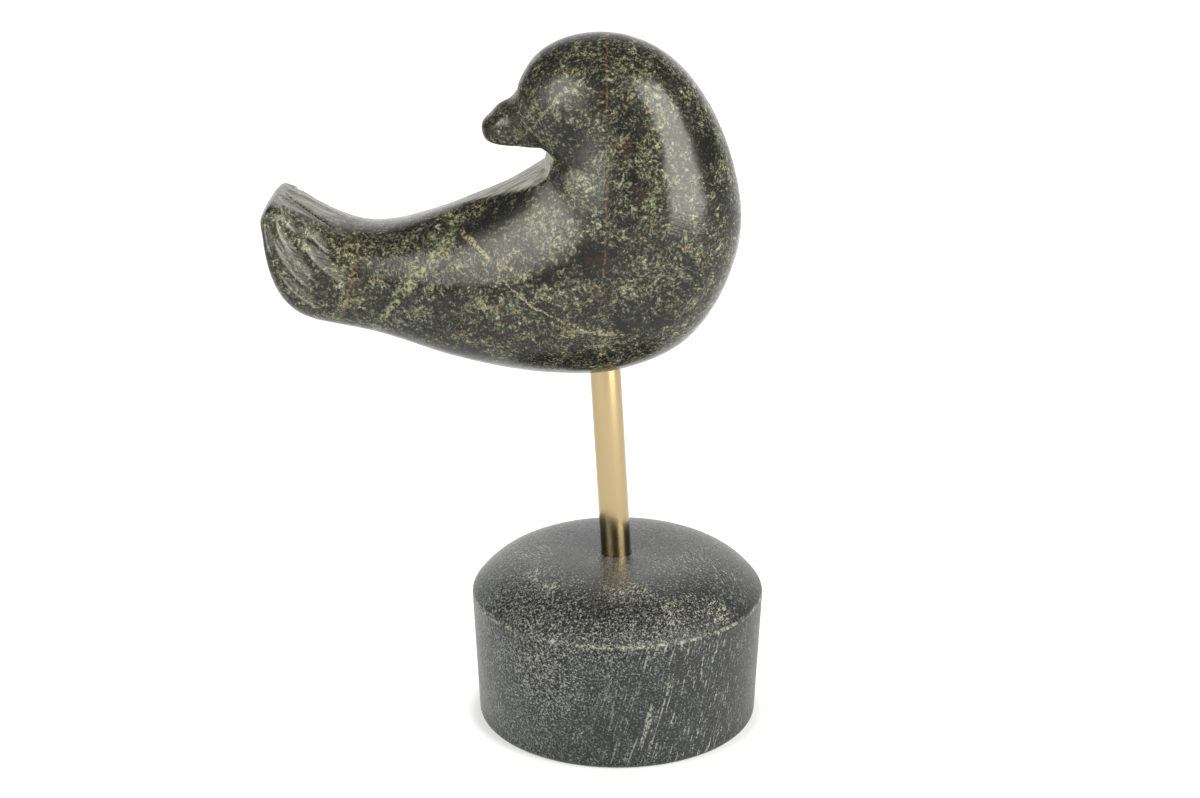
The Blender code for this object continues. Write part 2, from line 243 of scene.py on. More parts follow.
# How rough the dark and the pale grains are, and how much rougher filed stone and the head are. The head
# starts between these two places, in millimetres along the bird.
SERPENTINE_ROUGHNESS = (0.19, 0.13)
FILED_ROUGHNESS = 0.2
HEAD_ROUGHNESS = 0.12
HEAD_START = (180.0, 200.0)
STONE_IOR = 1.54
# Rubbed wax and a honed surface shine less than a full polish.
WAXED_SPECULAR = 0.19
HONED_SPECULAR = 0.22

PLINTH_CROWN = 12.5 * MM
PLINTH_CROWN_POWER = 5.6
PLINTH_FOOT_TAPER = 2.15 * MM
# The plinth's mesh: its sides, and its rows in the hole, over the dome, down the side and under the foot. The
# dome's rows crowd towards the rim, and the side's keep clear of both corners.
PLINTH_SIDES = 320
PLINTH_HOLE_ROWS = 12
PLINTH_CROWN_ROWS = 56
PLINTH_CROWN_CROWDING = 1.3
PLINTH_SIDE_ROWS = 44
PLINTH_SIDE_TOP = 1.6 * MM
PLINTH_SIDE_BOTTOM = 3.2 * MM
PLINTH_FOOT_ROWS = 5
PLINTH_FOOT_START = 0.9
# The dome's rows stop this many easings short of the rim.
ROOM_TO_EASE = 1.1
RIM_SEGMENTS = 6
FOOT_SEGMENTS = 8
SAME_PLACE = 0.001 * MM
SHARP_ANGLE = math.radians(35)
ROD_IN_PLINTH = 18.0 * MM
GLUE_GAP = 0.3 * MM
HOLE_GAP = 0.1 * MM
# The dome leans with the rod's hole up to the first distance from it, and not at all from the second.
LEANING_REACH = (1 * MM, 5 * MM)
ROD_SIDES = 128
ROD_EASE = 0.4 * MM
ROD_EASE_SEGMENTS = 3

SOAPSTONE_RAMP = ((0.33, "ground"), (0.51, "grain"), (0.69, "light"), (0.84, "pale"))
# Sizes in the soapstone, in millimetres: its grains, its plucked pits, and the breaks in a streak.
SOAPSTONE_GRAIN = 0.68
PIT_CELL = 1.2
STREAK_BREAK = 0.7
SOAPSTONE_BUMP = 0.06 * MM
# How rough the side and the dome are, and the heights between which the one turns into the other.
SOAPSTONE_ROUGHNESS = (0.36, 0.27)
DOME_START = (46.0, 53.0)
# How strong the grain is where it is closed and where it is open, and how light the stone is in all.
GRAIN_CONTRAST = (2.7, 4.6)
SOAPSTONE_LIGHTNESS = 0.23
# The bruised line at the rim, in millimetres: its height, how far it wanders, how far from its middle it
# starts to fade and has faded, and the sizes of its chips and of the gaps in it.
RIM_LINE_HEIGHT = 45.1
RIM_LINE_WANDER = 1.6
RIM_LINE_WIDTH = (0.25, 0.75)
RIM_CHIP = 2.6
RIM_GAP = 3.2
# Middles and radii of the places where the plinth's grain is open, in millimetres.
OPEN_GRAIN = (
    (-18.0, -34.0, 52.0, 22.0),
    (-4.0, -40.0, 51.0, 20.0),
    (10.0, -38.0, 51.0, 18.0),
    (-30.0, -28.0, 50.0, 16.0),
    (-22.0, -42.0, 33.0, 19.0),
    (26.0, -33.0, 50.0, 13.0),
)
# The first four make the dark arc from beside the rod to the rim.
PLINTH_PATCHES = (
    Patch(-14.0, -6.0, 57.0, 6.0, -0.12),
    Patch(-11.0, -16.0, 57.0, 6.0, -0.14),
    Patch(-7.0, -27.0, 56.0, 6.0, -0.14),
    Patch(-3.0, -37.0, 54.0, 6.0, -0.12),
    Patch(-3.0, -10.0, 57.0, 7.0, 0.05),
    Patch(22.0, -6.0, 57.0, 8.0, 0.05),
    Patch(0.0, -48.0, 8.0, 24.0, -0.05),
    Patch(-14.0, -25.0, 55.0, 15.0, -0.05),
    Patch(2.0, -38.0, 52.0, 16.0, -0.05),
    Patch(24.0, -22.0, 54.0, 16.0, -0.05),
    Patch(14.0, 9.0, 57.0, 12.0, -0.12),
    Patch(-22.0, -42.0, 32.0, 16.0, 0.07),
    Patch(8.0, 0.0, 57.0, 8.0, 0.05),
)
# Middles and radii of the clusters of pale flecks on the dome, in millimetres.
FLECKS = (
    (1.0, -31.0, 56.0, 6.0),
    (8.0, -30.0, 55.5, 6.0),
    (-25.0, -18.0, 56.0, 6.0),
    (-20.0, -27.0, 55.0, 5.0),
    (20.0, -36.0, 52.0, 5.5),
    (34.0, -28.0, 49.0, 6.0),
)
# The same for the fine scratches over its shoulders.
SCRATCHES = (
    (27.0, -6.0, 56.5, 12.0),
    (36.0, -12.0, 53.0, 10.0),
    (16.0, -10.0, 57.0, 8.0),
    (-30.0, 0.0, 56.0, 10.0),
)
# A fleck or a scratch: its turn from the X axis, its length in millimetres, and how few there are, from about
# 0.5 for many to 0.7 for few.
Dash = namedtuple("Dash", "turn length rarity")
FLECK = Dash(70, 2.2, 0.55)
SCRATCH = Dash(122, 5.0, 0.58)
DASH_WIDTH = 0.6
# The slant of the streaks down the side, in degrees, and their widths and length in millimetres.
STREAK_SLANT = 16
STREAK_SIZE = (0.7, 0.7, 13.0)
# The pits that are real dents: the share of the open grain that has one, the rim left round each, how far its
# wall leans, the smallest face for one, how much it may be turned, its size, and the lowest place for one.
PIT_SEED = 7
PIT_CHANCE = 0.2
PIT_MARGIN = 0.1 * MM
PIT_WALL = 0.07 * MM
PIT_SMALLEST_CELL = 0.42 * MM
PIT_TURN = 0.5
PIT_SIZES = (0.65, 1.0)
PIT_LOWEST = 40.0

# A soft light stands upright round the figurine. Azimuth 0 is in front, and positive is to the right.
Softbox = namedtuple("Softbox", "name azimuth distance low high width")
RIGHT_SOFTBOX = Softbox("right softbox", 51, 0.9, 0.05, 1.15, 0.64)
LEFT_SOFTBOX = Softbox("left softbox", -44, 0.9, 0.24, 0.90, 0.60)
SOFTBOX_WARMTH = (1.0, 0.98, 0.87)
# How bright the room is in front and behind, and the Y of the directions between which it changes.
ROOM_BRIGHTNESS = (0.13, 1.7)
ROOM_CHANGE = (0.45, 0.95)
FLOOR_SIZE = 6.0
PAPER_GREY = (0.28, 0.28, 0.28, 1.0)
WHITE = (1.0, 1.0, 1.0, 1.0)
# The paper's glow under the figurine, halved there to paint a contact shadow round the foot, and away from
# it, and the distances between which it changes.
PAPER_GLOW_WITH_PAINTED_SHADOW = (0.5, 1.0)
PAINTED_SHADOW_REACH = (0.046, 0.054)
SENSOR_WIDTH = 36.0
CAMERA_TURN = math.radians(4)
CAMERA_DOWN = math.radians(20)
CAMERA_REACH = 0.910
CAMERA_AIM = (-0.0058, 0.0, 0.1109)


def linear(code):
    """The linear colour of an sRGB hex code."""
    values = [int(code[i : i + 2], 16) / 255 for i in (1, 3, 5)]
    return tuple(v / 12.92 if v <= 0.04045 else ((v + 0.055) / 1.055) ** 2.4 for v in values)


def colour_property(name, description, code):
    return FloatVectorProperty(
        name=name, description=description, subtype="COLOR", size=3, min=0.0, max=1.0, default=linear(code)
    )


def length_property(name, description, default):
    return FloatProperty(
        name=name, description=description, default=default, min=0.0, unit="LENGTH", precision=5
    )


class BirdSettings(bpy.types.PropertyGroup):
    """The hand work on the bird, and the colours of its serpentine."""

    waviness: length_property("Waviness", "How far the smoothed surface strays from a fair one", 0.2 * MM)
    stroke_edge: length_property("Stroke edge", "How far the file strokes' ridges are worn round", 0.12 * MM)
    ground: colour_property("Ground", "The stone's darkest green-black", "#131412")
    dark_green: colour_property("Dark green", "The stone between its grains", "#20211e")
    green: colour_property("Green", "The grey-green grains", "#33332b")
    pale: colour_property("Pale green", "The light grains", "#4c5041")
    palest: colour_property("Palest", "The lightest grains", "#7b7c65")
    rust: colour_property("Rust", "The brown-red patches", "#261c1a")
    rust_vein: colour_property("Rust vein", "The brown-red veins", "#57422f")
    tan: colour_property("Tan", "The warm pale grains", "#665a45")
    cream: colour_property("Cream", "The veins of pale mineral", "#8c8267")
    green_vein: colour_property("Green vein", "The pale green veins", "#6f7558")
    dust: colour_property("Dust", "Stone powder left in the file strokes", "#8a8a84")


class RodSettings(bpy.types.PropertyGroup):
    """The brass rod's finish."""

    brass: colour_property("Brass", "The metal's own colour", "#a69471")
    roughness: FloatProperty(name="Roughness", description="How satin it is", default=0.17, min=0, max=1)


class PlinthSettings(bpy.types.PropertyGroup):
    """The turned plinth's edges, and the colours of its soapstone."""

    rim_ease: length_property("Rim ease", "How far the edge under the dome is rounded", 0.9 * MM)
    foot_ease: length_property("Foot ease", "How far the bottom edge is rounded", 2.5 * MM)
    pit_depth: length_property("Pit depth", "How deep the open pits in the dome are", 0.4 * MM)
    ground: colour_property("Ground", "The stone's darkest grains", "#161717")
    grain: colour_property("Grain", "The mid-grey grains", "#2e3134")
    light: colour_property("Light grains", "The light grains", "#474a4b")
    pale: colour_property("Pale", "The streaks and scratches", "#6c6e68")
    palest: colour_property("Palest", "The flecks and the bruised rim", "#868578")
    pit: colour_property("Pits", "The open pits", "#080908")


class StageSettings(bpy.types.PropertyGroup):
    """The camera, the lights and the floor around the figurine."""

    lens: FloatProperty(name="Lens", description="The camera's focal length", default=84.0, unit="CAMERA")
    right_light: FloatProperty(name="Right light", description="Its radiance", default=15.8, min=0)
    left_light: FloatProperty(name="Left light", description="Its radiance", default=12.5, min=0)


def add_node(tree, kind, inputs=(), output=0, **settings):
    """Adds a shader node with its settings, and gives one of its outputs. The inputs stand in order or by
    name, and each is a value or the output that feeds it."""
    made = tree.nodes.new("ShaderNode" + kind)
    for name, value in settings.items():
        setattr(made, name, value)
    for key, value in inputs.items() if isinstance(inputs, dict) else enumerate(inputs):
        if isinstance(value, bpy.types.NodeSocket):
            tree.links.new(value, made.inputs[key])
        else:
            made.inputs[key].default_value = value
    return made.outputs[output]


def opaque(colour):
    return (*colour, 1.0)


def new_finish(name):
    """An empty material with its main shader."""
    made = bpy.data.materials.new(name)
    made.use_nodes = True
    return made, made.node_tree, made.node_tree.nodes["Principled BSDF"]


def finish_piece(name, bm, finish, replaced):
    """Turns a bmesh into a smooth-shaded piece that rides on the figurine in place of a plain node."""
    bmesh.ops.recalc_face_normals(bm, faces=bm.faces)
    mesh = bpy.data.meshes.new(name)
    bm.to_mesh(mesh)
    bm.free()
    mesh.shade_smooth()
    mesh.materials.append(finish)
    piece = bpy.data.objects.new(name, mesh)
    bpy.context.scene.collection.objects.link(piece)
    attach(piece, "root")
    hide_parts(replaced)
    return piece


def soft_min(first, second, width):
    """The lesser of two values, rounded where they are within width of each other."""
    near = np.maximum(width - np.abs(first - second), 0.0)
    return np.minimum(first, second) - near**2 / (4 * width)


def smooth_step(values, low, high):
    """0 up to low, 1 from high on, and an even S between them."""
    share = np.clip((values - low) / (high - low), 0, 1)
    return share * share * (3 - 2 * share)


class BirdForm:
    """The bird's surface: slices between the stations, closed by a rounded cap at the tail and the beak."""

    def __init__(self):
        self.values = np.array(list(STATIONS.values()), float)
        self.values[:, :7] *= MM
        steps = np.diff(self.values[:, :4], axis=0)
        travel = (np.hypot(steps[:, 0], steps[:, 1]) + np.hypot(steps[:, 2], steps[:, 3])) / 2
        self.places = np.concatenate([[0.0], np.cumsum(travel)])
        self.bends = self.natural_spline()

    def natural_spline(self):
        """The second derivatives of the smooth curves through the stations' values."""
        gaps = np.diff(self.places)
        count = len(self.places)
        system = np.eye(count)
        target = np.zeros_like(self.values)
        slopes = np.diff(self.values, axis=0) / gaps[:, None]
        for i in range(1, count - 1):
            system[i, i - 1 : i + 2] = gaps[i - 1], 2 * (gaps[i - 1] + gaps[i]), gaps[i]
            target[i] = 6 * (slopes[i] - slopes[i - 1])
        return np.linalg.solve(system, target)

    def slices(self, places):
        """A station for each place, read from the smooth curves."""
        index = np.clip(np.searchsorted(self.places, places) - 1, 0, len(self.places) - 2)
        gap = (self.places[index + 1] - self.places[index])[:, None]
        after = (places[:, None] - self.places[index][:, None]) / gap
        before = 1 - after
        bend = (before**3 - before) * self.bends[index] + (after**3 - after) * self.bends[index + 1]
        straight = before * self.values[index] + after * self.values[index + 1]
        return Station(*(straight + bend * gap**2 / 6).T)

    def points(self, places, around, shrink):
        """Points of the slices at these places. around is 0 at the back and pi at the belly."""
        cut = self.slices(places)
        back = np.stack([cut.back_x, cut.back_z], 1)
        belly = np.stack([cut.belly_x, cut.belly_z], 1)
        half = np.hypot(*(back - belly).T) / 2
        along, across = np.cos(around), np.sin(around)
        power = 2 / np.where(along > 0, cut.back_power, cut.belly_power)
        along = np.sign(along) * np.abs(along) ** power
        across = np.sign(across) * np.abs(across) ** power
        # The back half is a taller curve than the slice, cut off flat at the slice's end.
        flat_share = np.clip(cut.flat / cut.width, 0, WIDEST_FLAT)
        crown = CROWNING * cut.flat * np.interp(places, np.array(CROWNED_PLACES) * MM, (0, 1, 1, 0))
        crest = (half - crown) / (1 - flat_share**cut.back_power) ** (1 / cut.back_power)
        lid = half - crown * (across / flat_share) ** 2
        risen = soft_min(along * crest, lid, cut.edge)
        height = np.where(along > 0, risen, along * half) * shrink
        middle = (back + belly) / 2 + (back - belly) / 2 * (height / half)[:, None]
        return np.stack([middle[:, 0], across * cut.width * shrink, middle[:, 1]], 1)

    def end_normal(self, end, inner):
        """The direction in which the slice at this end faces, away from the one inside it."""
        cut, within = self.values[end, :4], self.values[inner, :4]
        normal = np.array([cut[3] - cut[1], 0.0, cut[0] - cut[2]])
        away = (cut - within).reshape(2, 2).sum(0)
        normal *= np.sign(normal[[0, 2]] @ away)
        return normal / np.linalg.norm(normal)

    def ring_places(self):
        """The place of each ring of the mesh and how far its cap has closed, from the tail to the beak."""
        inner = BIRD_RINGS - 2 * BIRD_CAP_RINGS
        fine = np.linspace(0.0, self.places[-1], LENGTH_STEPS)
        gaps = np.interp(fine, np.array(RING_PLACES) * MM, RING_GAPS)
        count = np.concatenate([[0.0], np.cumsum(1 / gaps[1:])])
        places = np.interp(np.linspace(0, count[-1], inner + 1), count, fine)
        rings = np.arange(BIRD_RINGS + 1)
        shrink = np.minimum(1.0, np.minimum(rings, BIRD_RINGS - rings) / BIRD_CAP_RINGS)
        return places[np.clip(rings - BIRD_CAP_RINGS, 0, inner)], shrink

    def even_turns(self, places, turns):
        """For each place, the angles that divide its slice evenly at these turns, and its girth."""
        fine = np.linspace(-math.pi, math.pi, GIRTH_STEPS)
        spots = self.points(np.repeat(places, len(fine)), np.tile(fine, len(places)), 1.0)
        lengths = np.linalg.norm(np.diff(spots.reshape(len(places), len(fine), 3), axis=1), axis=2)
        walked = np.concatenate([np.zeros((len(places), 1)), np.cumsum(lengths, 1)], 1)
        girths = walked[:, -1]
        around = [np.interp(turns + 0.5, row / row[-1], fine) for row in walked]
        return np.array(around), girths


def scallop_relief(along, across, edge):
    """How far the file strokes lie below the smooth surface, and where the flank strokes' upper edges are.
    across is negative on the near side."""
    relief = np.zeros_like(along)
    edges = np.zeros_like(along)
    strokes = [(stroke, 0.0) for stroke in BACK_SCALLOPS]
    for stroke in FLANK_SCALLOPS:
        mirrored = stroke._replace(start_around=-stroke.start_around, end_around=-stroke.end_around)
        strokes += [(stroke, 1.0), (mirrored, 1.0)]
    for stroke, lined in strokes:
        start = np.array([stroke.start, stroke.start_around]) * MM
        end = np.array([stroke.end, stroke.end_around]) * MM
        half = np.linalg.norm(end - start) / 2
        way = (end - start) / (2 * half)
        offset = np.stack([along, across], 1) - (start + end) / 2
        lengthwise = offset @ way / half
        sideways = offset @ np.array([-way[1], way[0]]) / (stroke.width * MM / 2)
        reach = np.sqrt(lengthwise**2 + sideways**2)
        relief = soft_min(relief, stroke.depth * MM * (reach**2 - 1), edge)
        off = (reach - 1) * stroke.width * MM / 2 / STROKE_LINE
        upper = sideways * np.sign(stroke.start_around) > 0
        upper = smooth_step(np.abs(sideways), *STROKE_LINE_PART) * upper
        edges = np.maximum(edges, np.exp(-(off**2)) * upper * lined)
    return relief, edges


def cheek_relief(along, around):
    """The crisp corner where the cheek and the forehead stand over the root of the beak."""
    turn = np.degrees(np.abs(around))
    edge = np.interp(turn, CHEEK_EDGE_TURN, CHEEK_EDGE_PLACE) * MM
    share = np.interp(turn, CHEEK_EDGE_TURN, CHEEK_EDGE_SHARE)
    return share * np.interp((along - edge) / MM, CHEEK_STEP_PLACE, CHEEK_STEP_RELIEF) * MM


def hand_waviness(spots, depth):
    """The slight unevenness that hand smoothing leaves."""
    values = []
    for spot in spots:
        spot = Vector(spot)
        values.append(noise.noise(spot / BROAD_WAVE) + NARROW_SHARE * noise.noise(spot / NARROW_WAVE))
    return depth * np.array(values)


def filed_share(along, across, form, scallops):
    """1 where the stone still shows the file and isn't polished: the back's flat and the tail's strokes."""
    flat = form.slices(along).flat
    band = 1 - smooth_step(np.abs(across) - flat, *BAND_EDGE)
    band *= smooth_step(along, *BAND_START) * (1 - smooth_step(along, *BAND_END))
    tail = 1 - smooth_step(along, *FILED_TAIL_END)
    tail *= 1 - smooth_step(np.abs(across), *FILED_TAIL_EDGE)
    # Below the deep stroke on the near side the stone is polished again.
    groove = BACK_SCALLOPS[0]
    line = np.interp(along / MM, (groove.start, groove.end), (groove.start_around, groove.end_around)) * MM
    tail *= BELOW_GROOVE + (1 - BELOW_GROOVE) * smooth_step(across - line, *GROOVE_SHOULDER)
    filed = np.maximum(band, FILED_TAIL * tail)
    filed = np.maximum(filed, FILED_STROKES * smooth_step(-scallops, *STROKE_DEPTHS))
    return filed * (1 - smooth_step(-scallops, *GROOVE_DEPTHS))


def rod_line():
    """The rod's radius and the middles of its two ends."""
    low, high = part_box("rod")
    radius = (high.y - low.y) / 2
    lean = math.atan((high.x - low.x - 2 * radius) / (high.z - low.z))
    side, rise = radius * math.cos(lean), radius * math.sin(lean)
    return radius, Vector((high.x - side, 0.0, low.z + rise)), Vector((low.x + side, 0.0, high.z - rise))


def rod_cylinder(bm, radius, foot, head):
    """A cylinder between two points of the rod's line."""
    axis = head - foot
    place = Matrix.Translation((foot + head) / 2) @ axis.to_track_quat("Z", "Y").to_matrix().to_4x4()
    return bmesh.ops.create_cone(
        bm,
        cap_ends=True,
        segments=ROD_SIDES,
        radius1=radius,
        radius2=radius,
        depth=axis.length,
        matrix=place,
    )


def drill_for_rod(piece):
    """Drills the bird's blind hole for the rod."""
    radius, foot, head = rod_line()
    bm = bmesh.new()
    way = (head - foot).normalized()
    rod_cylinder(bm, radius + GLUE_GAP, foot, head + way * GLUE_GAP)
    mesh = bpy.data.meshes.new("drill")
    bm.to_mesh(mesh)
    bm.free()
    drill = bpy.data.objects.new("drill", mesh)
    bpy.context.scene.collection.objects.link(drill)
    modifier = piece.modifiers.new("rod hole", "BOOLEAN")
    modifier.operation = "DIFFERENCE"
    modifier.object = drill
    drilled = piece.evaluated_get(bpy.context.evaluated_depsgraph_get())
    piece_mesh = bpy.data.meshes.new_from_object(drilled)
    piece.modifiers.clear()
    piece.data = piece_mesh
    bpy.data.objects.remove(drill)


def soften_tips(bm, along, whole):
    """Rounds the edges of the tail's end and of the beak, as rubbing does."""
    tips = [vert for vert, place in zip(bm.verts, along) if place < TAIL_SOFT or place > whole - BEAK_SOFT]
    for _step in range(TIP_SOFTENING):
        bmesh.ops.smooth_vert(bm, verts=tips, factor=0.5, use_axis_x=True, use_axis_y=True, use_axis_z=True)


def shape_bird(settings, finish):
    """A sphere, with its poles at the tail's end and the beak's, whose rings take the shape of the slices."""
    form = BirdForm()
    bm = bmesh.new()
    bmesh.ops.create_uvsphere(bm, u_segments=BIRD_SIDES, v_segments=BIRD_RINGS, radius=1.0)
    ball = np.array([vert.co for vert in bm.verts])
    ring = np.rint(np.arccos(np.clip(ball[:, 2], -1, 1)) / math.pi * BIRD_RINGS).astype(int)
    side = np.rint(np.arctan2(ball[:, 1], ball[:, 0]) / math.tau * BIRD_SIDES).astype(int)
    places, shrinks = form.ring_places()
    half_round = BIRD_SIDES // 2
    around_ring, girth_ring = form.even_turns(places, np.arange(-half_round, half_round + 1) / BIRD_SIDES)
    around = around_ring[ring, side + half_round]
    along, shrink, turns = places[ring], shrinks[ring], side / BIRD_SIDES
    across = girth_ring[ring] * turns
    spots = form.points(along, around, shrink)
    near_tail = ring < BIRD_RINGS / 2
    bulge = np.where(near_tail, TAIL_END_BULGE, BEAK_END_BULGE) * np.sqrt(1 - shrink**2)
    outward = np.where(near_tail[:, None], form.end_normal(0, 1), form.end_normal(-1, -2))
    spots = spots + outward * bulge[:, None]
    for vert, spot in zip(bm.verts, spots):
        vert.co = spot
    soften_tips(bm, along, form.places[-1])
    bmesh.ops.recalc_face_normals(bm, faces=bm.faces)
    bm.normal_update()
    scallops, edges = scallop_relief(along, across, settings.stroke_edge)
    relief = scallops + cheek_relief(along, around)
    relief = relief * shrink * smooth_step(along, 0, RELIEF_START) + hand_waviness(spots, settings.waviness)
    for vert, depth in zip(bm.verts, relief):
        vert.co += vert.normal * depth
    bird = finish_piece("carved_bird", bm, finish, "bird")
    # Places on the skin, for the scratches that follow it: millimetres along, and a round trip about it.
    skin = bird.data.attributes.new("skin", "FLOAT_VECTOR", "POINT")
    trip = math.tau * turns
    spots = np.stack([along / MM, SKIN_RADIUS * np.cos(trip), SKIN_RADIUS * np.sin(trip)], 1)
    skin.data.foreach_set("vector", spots.ravel())
    shares = {
        "filed": filed_share(along, across, form, scallops),
        "scored": edges,
        # Painted shade for the bottom of the deepest stroke.
        "deep": smooth_step(-scallops, *GROOVE_SHADE_DEPTHS),
    }
    for name, share in shares.items():
        bird.data.attributes.new(name, "FLOAT", "POINT").data.foreach_set("value", share)
    drill_for_rod(bird)
    return bird


def object_millimetres(tree):
    """Places on the piece, in millimetres."""
    where = add_node(tree, "TexCoord", output="Object")
    return add_node(tree, "Mapping", {"Vector": where, "Scale": (1 / MM, 1 / MM, 1 / MM)})


def make_serpentine(settings):
    """Serpentine, ground and wax-polished by hand: dark green-black with clouds of grey-green grains under a
    satin gloss, crossed by veins of cream and rust, with fine scratches round the form."""
    finish, tree, shader = new_finish("polished serpentine")
    spot = object_millimetres(tree)
    swirl = add_node(tree, "TexNoise", {"Vector": spot, "Scale": 1 / SWIRL, "Detail": 1.0}, "Color")
    pull = add_node(tree, "VectorMath", (swirl, (-0.5, -0.5, -0.5)), operation="ADD")
    rock = add_node(tree, "VectorMath", (pull, SWIRL_PULL, spot), operation="MULTIPLY_ADD")
    mottle = patched(tree, serpentine_mottle(tree, rock), rock, PATCHES)
    colour = add_node(tree, "ValToRGB", (mottle,))
    fill_ramp(colour.node.color_ramp, settings, SERPENTINE_RAMP)
    colour = stain(tree, colour, rust_share(tree, rock, mottle), settings.rust)
    colour = stain(tree, colour, tan_share(tree, rock, mottle), settings.tan)
    for vein in VEINS:
        colour = stain(tree, colour, vein_share(tree, vein, spot, rock), getattr(settings, vein.colour))
    skin = add_node(tree, "Attribute", output="Vector", attribute_name="skin")
    filed = add_node(tree, "Attribute", output="Fac", attribute_name="filed")
    # File strokes run along the back and the tail, and the last polishing strokes run round the body.
    strokes = skin_marks(tree, skin, FILE_STROKE, 3.0)
    dust = add_node(tree, "MapRange", (strokes, 0.40, 0.62, 0.25, 1.0))
    dust = add_node(tree, "Math", (dust, filed), operation="MULTIPLY")
    colour = stain(tree, colour, dust, settings.dust)
    scored = add_node(tree, "Attribute", output="Fac", attribute_name="scored")
    scored = add_node(tree, "Math", (scored, SCORED_DUST), operation="MULTIPLY")
    colour = stain(tree, colour, scored, settings.dust)
    # Painted shade: the bottom of the deepest stroke is darkened to the stone's ground colour.
    deep = add_node(tree, "Attribute", output="Fac", attribute_name="deep")
    colour = stain(tree, colour, deep, settings.ground)
    rubs = skin_marks(tree, skin, RUB, 2.0)
    marks = add_node(tree, "Mix", {0: filed, 2: rubs, 3: strokes})
    # The file cuts deeper than the polishing.
    cut = add_node(tree, "Math", (filed, 4.2, 1.8), operation="MULTIPLY_ADD")
    marks = add_node(tree, "Math", (marks, cut), operation="MULTIPLY")
    height = add_node(tree, "Math", (mottle, 0.5, marks), operation="MULTIPLY_ADD")
    # Dark grains take a poorer polish than the pale ones, and filed stone takes none.
    gloss = add_node(tree, "MapRange", (mottle, 0.3, 0.7, *SERPENTINE_ROUGHNESS))
    gloss = add_node(tree, "Math", (filed, FILED_ROUGHNESS, gloss), operation="MULTIPLY_ADD")
    # The head is rubbed less than the body.
    head = add_node(tree, "SeparateXYZ", (skin,))
    head = add_node(tree, "MapRange", (head, *HEAD_START, 0.0, HEAD_ROUGHNESS))
    gloss = add_node(tree, "Math", (gloss, head), operation="ADD")
    face_stone(tree, shader, colour, gloss, (height, SERPENTINE_BUMP), WAXED_SPECULAR)
    return finish


def face_stone(tree, shader, colour, gloss, relief, specular):
    """Gives a stone its colour, its gloss and its grains' relief, which is a height and how deep it goes."""
    height, depth = relief
    bump = add_node(tree, "Bump", {"Height": height, "Strength": 1.0, "Distance": depth})
    shader.inputs["IOR"].default_value = STONE_IOR
    shader.inputs["Specular IOR Level"].default_value = specular
    tree.links.new(colour, shader.inputs["Base Color"])
    tree.links.new(gloss, shader.inputs["Roughness"])
    tree.links.new(bump, shader.inputs["Normal"])


def fill_ramp(ramp, settings, stops):
    """Gives a colour ramp its stops: each a position and the name of a colour in the settings."""
    while len(ramp.elements) < len(stops):
        ramp.elements.new(1.0)
    for element, (position, name) in zip(ramp.elements, stops):
        element.position = position
        element.color = opaque(getattr(settings, name))


def stain(tree, colour, share, stained):
    """Turns colour into the stained one by this share."""
    return add_node(tree, "Mix", {0: share, 6: colour, 7: opaque(stained)}, 2, data_type="RGBA")


def serpentine_mottle(tree, rock):
    """How light the stone is, about 0 to 1: grains of a millimetre and less, gathered in mossy clumps."""
    grain = {"Scale": 1 / SERPENTINE_GRAIN, "Detail": 2.0, "Roughness": 0.8, "Distortion": 0.6}
    grain = add_node(tree, "TexNoise", {"Vector": rock, **grain})
    clump = {"Scale": 1 / SERPENTINE_CLUMP, "Detail": 3.0, "Roughness": 0.75, "Distortion": 1.0}
    clump = add_node(tree, "TexNoise", {"Vector": rock, **clump})
    cloud = {"Vector": rock, "Scale": 1 / STONE_CLOUD, "Detail": 2.0, "Roughness": 0.6}
    cloud = add_node(tree, "TexNoise", cloud)
    mottle = add_node(tree, "Math", (clump, 0.75, grain), operation="MULTIPLY_ADD")
    mottle = add_node(tree, "Math", (cloud, 0.3, mottle), operation="MULTIPLY_ADD")
    return add_node(tree, "MapRange", (mottle, 0.745, 1.345))


def near_place(tree, spot, place, inner, outer, most=1.0, blend="LINEAR"):
    """The most within the inner radius of a place, falling to nothing at the outer one."""
    distance = add_node(tree, "VectorMath", (spot, place), "Value", operation="DISTANCE")
    return add_node(tree, "MapRange", (distance, inner, outer, most, 0.0), interpolation_type=blend)


def noise_share(tree, spot, size, low, high, least=0.0, most=1.0, detail=2.0, roughness=0.5):
    """A share that goes from the least to the most while noise of this size goes from low to high."""
    inputs = {"Vector": spot, "Scale": 1 / size, "Detail": detail, "Roughness": roughness}
    level = add_node(tree, "TexNoise", inputs)
    return add_node(tree, "MapRange", (level, low, high, least, most))


def skin_marks(tree, skin, size, detail):
    """Marks of this size, along the bird's skin or round it."""
    drawn_out = add_node(tree, "Mapping", {"Vector": skin, "Scale": [1 / width for width in size]})
    return add_node(tree, "TexNoise", {"Vector": drawn_out, "Scale": 1.0, "Detail": detail})


def patched(tree, mottle, spot, patches):
    """The mottle, made lighter or darker in patches."""
    for patch in patches:
        inner, outer = 0.3 * patch.radius, 1.2 * patch.radius
        change = near_place(tree, spot, patch[:3], inner, outer, patch.lighter, "SMOOTHSTEP")
        mottle = add_node(tree, "Math", (mottle, change), operation="ADD")
    return mottle


